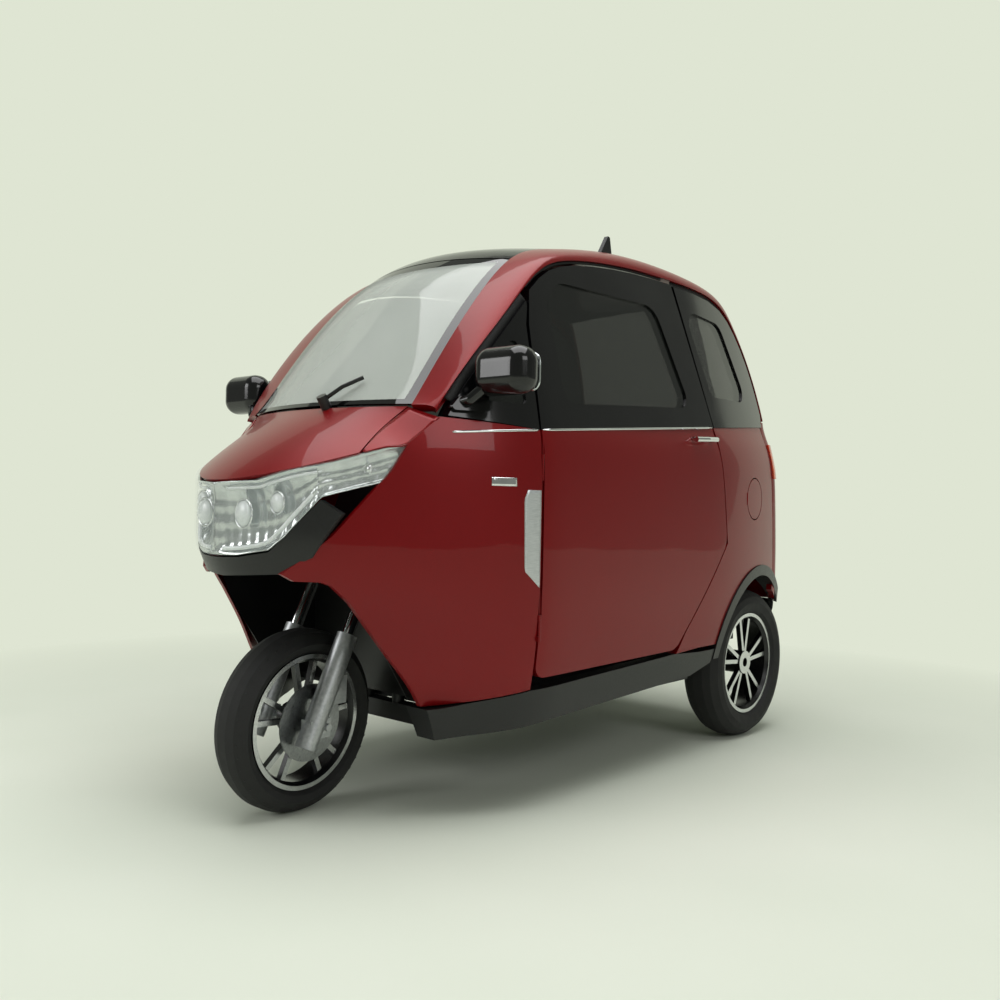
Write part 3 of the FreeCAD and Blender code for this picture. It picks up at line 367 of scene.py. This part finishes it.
def tread(name, body, centre, radius, width, count, turn=0.0, axis=Vector((1, 0, 0))):
    """Raised tread blocks in slanting rows round a tyre."""
    mesh = bmesh.new()
    half = width * 0.33
    for k in range(count):
        angle = 2 * math.pi * k / count
        for side in (-1, 1):
            made = bmesh.ops.create_cube(mesh, size=1.0)["verts"]
            pitch = 2 * math.pi * radius / count
            bmesh.ops.scale(mesh, vec=(half * 0.92, pitch * 0.6, 0.006), verts=made)
            bmesh.ops.rotate(mesh, cent=(0, 0, 0), matrix=Matrix.Rotation(side * 0.55, 3, "Z"), verts=made)
            bmesh.ops.rotate(mesh, cent=(0, 0, 0), matrix=Matrix.Rotation(side * 0.30, 3, "Y"), verts=made)
            place = (side * half * 0.62, side * pitch * 0.25, radius - TREAD_SINK)
            bmesh.ops.translate(mesh, vec=place, verts=made)
            bmesh.ops.rotate(mesh, cent=(0, 0, 0), matrix=Matrix.Rotation(angle, 3, "X"), verts=made)
    bmesh.ops.bevel(mesh, geom=mesh.edges[:], offset=TREAD_BEVEL, segments=1, profile=0.5,
                    affect="EDGES", material=-1)
    if turn:
        bmesh.ops.rotate(mesh, cent=(0, 0, 0), matrix=Matrix.Rotation(turn, 3, axis), verts=mesh.verts)
    bmesh.ops.translate(mesh, vec=centre, verts=mesh.verts)
    piece = finish_mesh(name, mesh, TYRE, body, smooth=False)


def rake_axis():
    return Vector((0, math.sin(math.radians(25)), math.cos(math.radians(25))))


def front_centre():
    low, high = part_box("front_tyre")
    return (Vector(low) + Vector(high)) / 2.0


def tyres():
    tread("front_tread", "front_wheel", front_centre(), FRONT_R, 0.112, 44, math.radians(4.65), rake_axis())
    for side, name in ((1, "left"), (-1, "right")):
        centre = Vector((side * REAR_HALF_TRACK, WHEELBASE - ORIGIN_Y, REAR_R))
        tread("rear_tread_" + name, "rear_wheel_" + name, centre, REAR_R, 0.136, 46)


# ---------------------------------------------------------------- floor, light and camera
def backdrop():
    """A pale floor that runs up into a plain backdrop, even in tone far from the vehicle, shaded near it."""
    mesh = bmesh.new()
    steps = 16
    profile = [(-9.0, 0.0), (5.0, 0.0)]
    for k in range(1, steps + 1):
        a = math.pi / 2 * k / steps
        profile.append((5.0 + 3.0 * math.sin(a), 3.0 - 3.0 * math.cos(a)))
    profile.append((8.0, 12.0))
    rows = []
    yaw = math.radians(41.37)
    for x in (-14.0, 14.0):
        row = []
        for d, z in profile:
            place = Matrix.Rotation(yaw, 3, "Z") @ Vector((x, d, z))
            row.append(mesh.verts.new(place))
        rows.append(row)
    for k in range(len(profile) - 1):
        mesh.faces.new((rows[0][k], rows[1][k], rows[1][k + 1], rows[0][k + 1]))
    material, tree, shader = new_material("pale_green_white_paper")
    tone = ramp(tree, noise(tree, 1.5, 2.0), 0.3, 0.7, linear("#DDE3D5"), linear("#E1E6D9"))
    tree.links.new(tone, shader.inputs["Base Color"])
    shader.inputs["Roughness"].default_value = 0.9
    shader.inputs["Specular IOR Level"].default_value = 0.1
    glow = add(tree, "ShaderNodeEmission", {"Color": linear("#DFE5D3"), "Strength": 1.0})
    path = add(tree, "ShaderNodeLightPath")
    seen = math_node(tree, "MAXIMUM", path.outputs["Is Camera Ray"], path.outputs["Is Transmission Ray"])
    seen = math_node(tree, "MAXIMUM", seen, path.outputs["Is Glossy Ray"])
    spot = add(tree, "ShaderNodeTexCoord")
    reach = add(tree, "ShaderNodeVectorMath", operation="LENGTH")
    tree.links.new(spot.outputs["Object"], reach.inputs[0])
    share = math_node(tree, "DIVIDE", reach.outputs["Value"], 10.0)
    far = ramp(tree, share, 0.13, 0.3, (0, 0, 0, 1), (1, 1, 1, 1))
    blend = add(tree, "ShaderNodeMixShader")
    tree.links.new(math_node(tree, "MULTIPLY", far, seen), blend.inputs["Fac"])
    tree.links.new(shader.outputs["BSDF"], blend.inputs[1])
    tree.links.new(glow.outputs["Emission"], blend.inputs[2])
    tree.links.new(blend.outputs["Shader"], tree.nodes["Material Output"].inputs["Surface"])
    data = bpy.data.meshes.new("backdrop")
    bmesh.ops.recalc_face_normals(mesh, faces=mesh.faces)
    mesh.to_mesh(data)
    mesh.free()
    data.materials.append(material)
    floor = bpy.data.objects.new("backdrop", data)
    bpy.context.scene.collection.objects.link(floor)


def area(name, place, target, size, power):
    data = bpy.data.lights.new(name, "AREA")
    data.shape = "RECTANGLE"
    data.size = size[0]
    data.size_y = size[1]
    data.energy = power
    lamp = bpy.data.objects.new(name, data)
    lamp.location = place
    lamp.rotation_euler = (Vector(target) - Vector(place)).to_track_quat("-Z", "Y").to_euler()
    bpy.context.scene.collection.objects.link(lamp)


def lights():
    area("top_soft", (0.4, -0.4, 4.6), (0, 0, 0.6), (4.4, 4.4), 190)
    area("side_soft", (4.6, -1.2, 2.6), (0, 0, 0.8), (2.4, 1.6), 40)
    area("front_soft", (-2.4, -4.6, 2.4), (0, -0.4, 0.8), (2.4, 1.8), 60)
    world = bpy.data.worlds.new("studio")
    bpy.context.scene.world = world
    world.use_nodes = True
    back = world.node_tree.nodes["Background"]
    back.inputs["Color"].default_value = linear("#DFE4D8")
    back.inputs["Strength"].default_value = 0.3


def camera():
    """The viewing place and lens that match the view of the vehicle from its front left."""
    data = bpy.data.cameras.new("view")
    data.lens = 35.3
    data.sensor_width = 36.0
    data.clip_end = 60.0
    view = bpy.data.objects.new("view", data)
    yaw = math.radians(41.37)
    roll = math.radians(1.23)
    ahead = Vector((-math.sin(yaw), math.cos(yaw), 0.0))
    level = Vector((math.cos(yaw), math.sin(yaw), 0.0))
    right = level * math.cos(roll) + Vector((0, 0, 1)) * math.sin(roll)
    up = right.cross(ahead)
    turn = Matrix((right, up, -ahead)).transposed()
    view.matrix_world = Matrix.Translation(at(1983.0, -1501.2, 778.8)) @ turn.to_4x4()
    bpy.context.scene.collection.objects.link(view)
    bpy.context.scene.camera = view


# ---------------------------------------------------------------- body lines, in millimetres
# the roof rail's lower edge, as (y, z), and the headlamp's lower and upper outlines, as (x, z)
RAIL_SIDE = [(95, 984), (180, 1105), (305, 1245), (440, 1367), (600, 1428), (866, 1461),
             (1150, 1468), (1400, 1453), (1535, 1375), (1615, 1262), (1655, 1150), (1668, 1072)]
LAMP_LOW = [(0, 638), (70, 641), (140, 654), (172, 684), (232, 776), (332, 820), (350, 903)]
LAMP_HIGH = [(0, 806), (120, 812), (172, 833), (250, 858), (290, 878), (318, 894), (350, 903)]

MIRROR_X = 508.0
MIRROR_REAR_Y = 228.0
MIRROR_Z = 1074.0
MIRROR_HALF_W = 66.0
MIRROR_HALF_H = 44.0

# the wing plate's and the badge's front edges, as (height, place along the vehicle), and their rear edges
PLATE_FRONT = [(569, 342), (610, 296), (782, 292), (804, 302)]
PLATE_REAR = 342.5
BADGE_HEIGHTS = (812, 817, 822, 827, 832)
BADGE_FRONT = [(812, 206), (832, 206)]
BADGE_REAR = 270.0


def side_x(y, z):
    """How far out the vehicle's side stands at a place along it and up it."""
    low = max(0.0, 600.0 - z)
    width = 500.0 - 26.0 / 90000.0 * low ** 2 - 0.12 * ((z - 900.0) + math.hypot(z - 900.0, 40.0))
    return width - (9.2e-4 + 2e-6 * low) * max(0.0, 430.0 - y) ** 2 - 2e-4 * max(0.0, y - 1150.0) ** 2


def waist_z(y):
    return 951.0 + 0.0755 * (y - 351.0)


def nose_y(x, z):
    return -255.0 + 2.4e-3 * x * x + 3e-3 * max(0.0, 700.0 - z) ** 2


def between(table, x):
    """A value read off a table of straight runs."""
    for (x0, z0), (x1, z1) in zip(table, table[1:]):
        if x <= x1:
            return z0 + (z1 - z0) * (x - x0) / (x1 - x0)
    return table[-1][1]


def through(points, s):
    """A smooth curve through the points, at a place counted in points."""
    k = min(int(s), len(points) - 2)
    t = s - k
    p = [Vector(points[min(max(j, 0), len(points) - 1)]) for j in (k - 1, k, k + 1, k + 2)]
    return 0.5 * (2 * p[1] + (p[2] - p[0]) * t + (2 * p[0] - 5 * p[1] + 4 * p[2] - p[3]) * t * t
                  + (3 * p[1] - p[0] - 3 * p[2] + p[3]) * t ** 3)


def sheet(name, rows, thick, material, body, mirror=False):
    """A thin closed sheet through rows of points, thickened with its own rim."""
    mesh = bmesh.new()
    grid = [[mesh.verts.new(at(-x if mirror else x, y, z)) for x, y, z in row] for row in rows]
    for first, second in zip(grid, grid[1:]):
        for k in range(len(first) - 1):
            mesh.faces.new((first[k], first[k + 1], second[k + 1], second[k]))
    bmesh.ops.recalc_face_normals(mesh, faces=mesh.faces)
    bmesh.ops.solidify(mesh, geom=mesh.faces[:], thickness=thick / 1000.0)
    return finish_mesh(name, mesh, material, body)


def bead(name, points, radius, material, body, sides=10):
    """A round bead drawn along a line of points, closed at both ends."""
    mesh = bmesh.new()
    points = [at(*p) for p in points]
    rings = []
    for k, point in enumerate(points):
        along = (points[min(k + 1, len(points) - 1)] - points[max(k - 1, 0)]).normalized()
        across = along.cross(Vector((0.13, 0.21, 0.97))).normalized()
        other = along.cross(across)
        small = 0.55 if k in (0, len(points) - 1) else 1.0
        ring = []
        for j in range(sides):
            a = 2 * math.pi * j / sides
            spoke = across * math.cos(a) + other * math.sin(a)
            ring.append(mesh.verts.new(point + spoke * radius * small / 1000.0))
        rings.append(ring)
    for first, second in zip(rings, rings[1:]):
        for j in range(sides):
            mesh.faces.new((first[j], first[(j + 1) % sides], second[(j + 1) % sides], second[j]))
    mesh.faces.new(rings[0])
    mesh.faces.new(rings[-1])
    return finish_mesh(name, mesh, material, body)


def shoulders():
    """The painted panel between the bonnet's seam and the pillar's foot, one each side."""
    inner = [(290, -50, 884), (281, -8, 919), (281, 33, 952), (303, 77, 992)]
    outer = [(293, -49, 880), (322, -10, 893), (352, 39, 903), (384, 98, 966)]
    for mirror, side in ((False, "left"), (True, "right")):
        rows = []
        for i in range(13):
            a, b = through(inner, 3.0 * i / 12.0), through(outer, 3.0 * i / 12.0)
            rows.append([tuple(a.lerp(b, j / 8.0)) for j in range(9)])
        sheet("shoulder_" + side, rows, 2.5, RED, "cab", mirror)


def rail_seals():
    """Rubber between the roof rail's lower edge and the frames below it."""
    # each run: where it starts and ends along the rail, counted in points, and its width
    runs = {"pillar": (0.35, 2.42, 26.0), "door": (2.58, 5.7, 8.0), "rear": (5.9, 10.65, 20.0)}
    for mirror, side in ((False, "left"), (True, "right")):
        for run, (start, stop, width) in runs.items():
            rows = []
            for i in range(61):
                s = start + (stop - start) * i / 60.0
                here, ahead = through(RAIL_SIDE, s), through(RAIL_SIDE, s + 0.01)
                run_y, run_z = (ahead - here).normalized()
                row = []
                for step in (0.0, 0.5, 1.0):
                    y, z = here[0] + run_z * width * step, here[1] - run_y * width * step
                    row.append((side_x(y, z) - 8.0, y, z))
                rows.append(row)
            sheet("seal_%s_%s" % (run, side), rows, 3.0, SEAL, "cab", mirror)


def waist_strips():
    """A bright bead along the waist, in one length on the cab and one on the door."""
    for mirror, side in ((1, "left"), (-1, "right")):
        for name, body, start, stop in (("pillar", "cab", 122, 342), ("door", "door_" + side, 356, 1196)):
            points = []
            for i in range(31):
                y = start + (stop - start) * i / 30.0
                points.append((mirror * (side_x(y, waist_z(y)) + 0.5), y, waist_z(y)))
            bead("waist_%s_%s" % (name, side), points, 3.2, CHROME, body)


def headlamp():
    """Reflector tray behind the lens, with two bowls a side, projector lenses and a light guide."""
    def depth(x, v):
        x = abs(x)
        if x < 224:
            bowl = 40.0 * max(0.0, math.sin(math.pi * x / 224.0)) ** 0.45
        else:
            bowl = 24.0 * max(0.0, math.sin(math.pi * (x - 224.0) / 122.0)) ** 0.45
        facet = 3.0 * abs(math.sin(x * 0.16 + v * 2.0)) + 2.0 * abs(math.sin(v * 14.0))
        return 8.0 + (bowl + facet) * (1.0 - abs(2.0 * v - 1.0) ** 5)
    rows = []
    for i in range(173):
        x = -344.0 + 4.0 * i
        low, high = between(LAMP_LOW, abs(x)) + 2.0, between(LAMP_HIGH, abs(x)) - 2.0
        row = []
        for j in range(23):
            z = low + (high - low) * j / 22.0
            row.append((x, nose_y(x, z) + depth(x, j / 22.0), z))
        rows.append(row)
    tray = sheet("headlamp_reflector", rows, 2.0, REFLECTOR, "cab")
    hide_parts("headlamp_housing")
    for mirror, side in ((1, "left"), (-1, "right")):
        path = [(24, 655), (76, 658), (132, 670), (160, 696), (188, 738), (216, 782)]
        points = []
        for i in range(41):
            x, z = through([(px, pz) for px, pz in path], 5.0 * i / 40.0)
            points.append((mirror * x, nose_y(x, z) + 14.0, z))
        bead("light_guide_" + side, points, 5.0, GUIDE, "cab")
        points = []
        for i in range(21):
            x = 40.0 + 9.5 * i
            z = between(LAMP_HIGH, x) - 16.0
            points.append((mirror * x, nose_y(x, z) + 15.0, z))
        bead("brow_guide_" + side, points, 3.5, GUIDE, "cab")
        for number, (x, z, radius) in enumerate(((78, 736, 29.0), (150, 762, 22.0), (288, 842, 10.0))):
            mesh = bmesh.new()
            bmesh.ops.create_uvsphere(mesh, u_segments=32, v_segments=16, radius=radius / 1000.0)
            bmesh.ops.scale(mesh, vec=(1.0, 0.45, 1.0), verts=mesh.verts)
            bmesh.ops.translate(mesh, vec=at(mirror * x, nose_y(x, z) + 24.0, z), verts=mesh.verts)
            finish_mesh("projector_%d_%s" % (number, side), mesh, CHROME if number == 2 else GUIDE, "cab")
            ring = []
            for j in range(33):
                a = 2 * math.pi * j / 32.0
                ring.append((mirror * (x + radius * 1.15 * math.cos(a)), nose_y(x, z) + 24.0,
                             z + radius * 1.15 * math.sin(a)))
            bead("projector_ring_%d_%s" % (number, side), ring, 2.2, CHROME, "cab")


def mirror_glass():
    """The silvered glass on the rear face of each mirror."""
    for mirror, side in ((1, "left"), (-1, "right")):
        rows = []
        for i in range(15):
            v = -1.0 + i / 7.0
            half = MIRROR_HALF_W * (1.0 - abs(v) ** 6 * 0.25)
            rows.append([(mirror * (MIRROR_X + half * (-1.0 + j / 7.0)), MIRROR_REAR_Y,
                          MIRROR_Z + MIRROR_HALF_H * v) for j in range(15)])
        sheet("mirror_glass_" + side, rows, 1.5, MIRROR, "cab")


def wing_sheet(name, heights, front, rear, columns, material):
    """A thin plate lying on the left wing, with a shaped front edge and a straight rear edge."""
    rows = []
    for z in heights:
        edge = between(front, z)
        rows.append([(side_x(y, z) + 0.6, y, z)
                     for y in [edge + (rear - edge) * j / columns for j in range(columns + 1)]])
    sheet(name, rows, 1.0, material, "cab")


def blank_plates():
    """The plain silver plate on the left wing in front of the door, and the small one above it."""
    low, high = PLATE_FRONT[0][0], PLATE_FRONT[-1][0]
    heights = [low + (high - low) * i / 24.0 for i in range(25)]
    wing_sheet("wing_plate", heights, PLATE_FRONT, PLATE_REAR, 6, PLATE)
    wing_sheet("wing_badge_blank", BADGE_HEIGHTS, BADGE_FRONT, BADGE_REAR, 8, CHROME)


dress_nodes()
seats()
shoulders()
rail_seals()
waist_strips()
headlamp()
mirror_glass()
blank_plates()
tyres()
backdrop()
lights()
camera()
bpy.context.scene.view_settings.view_transform = "Standard"
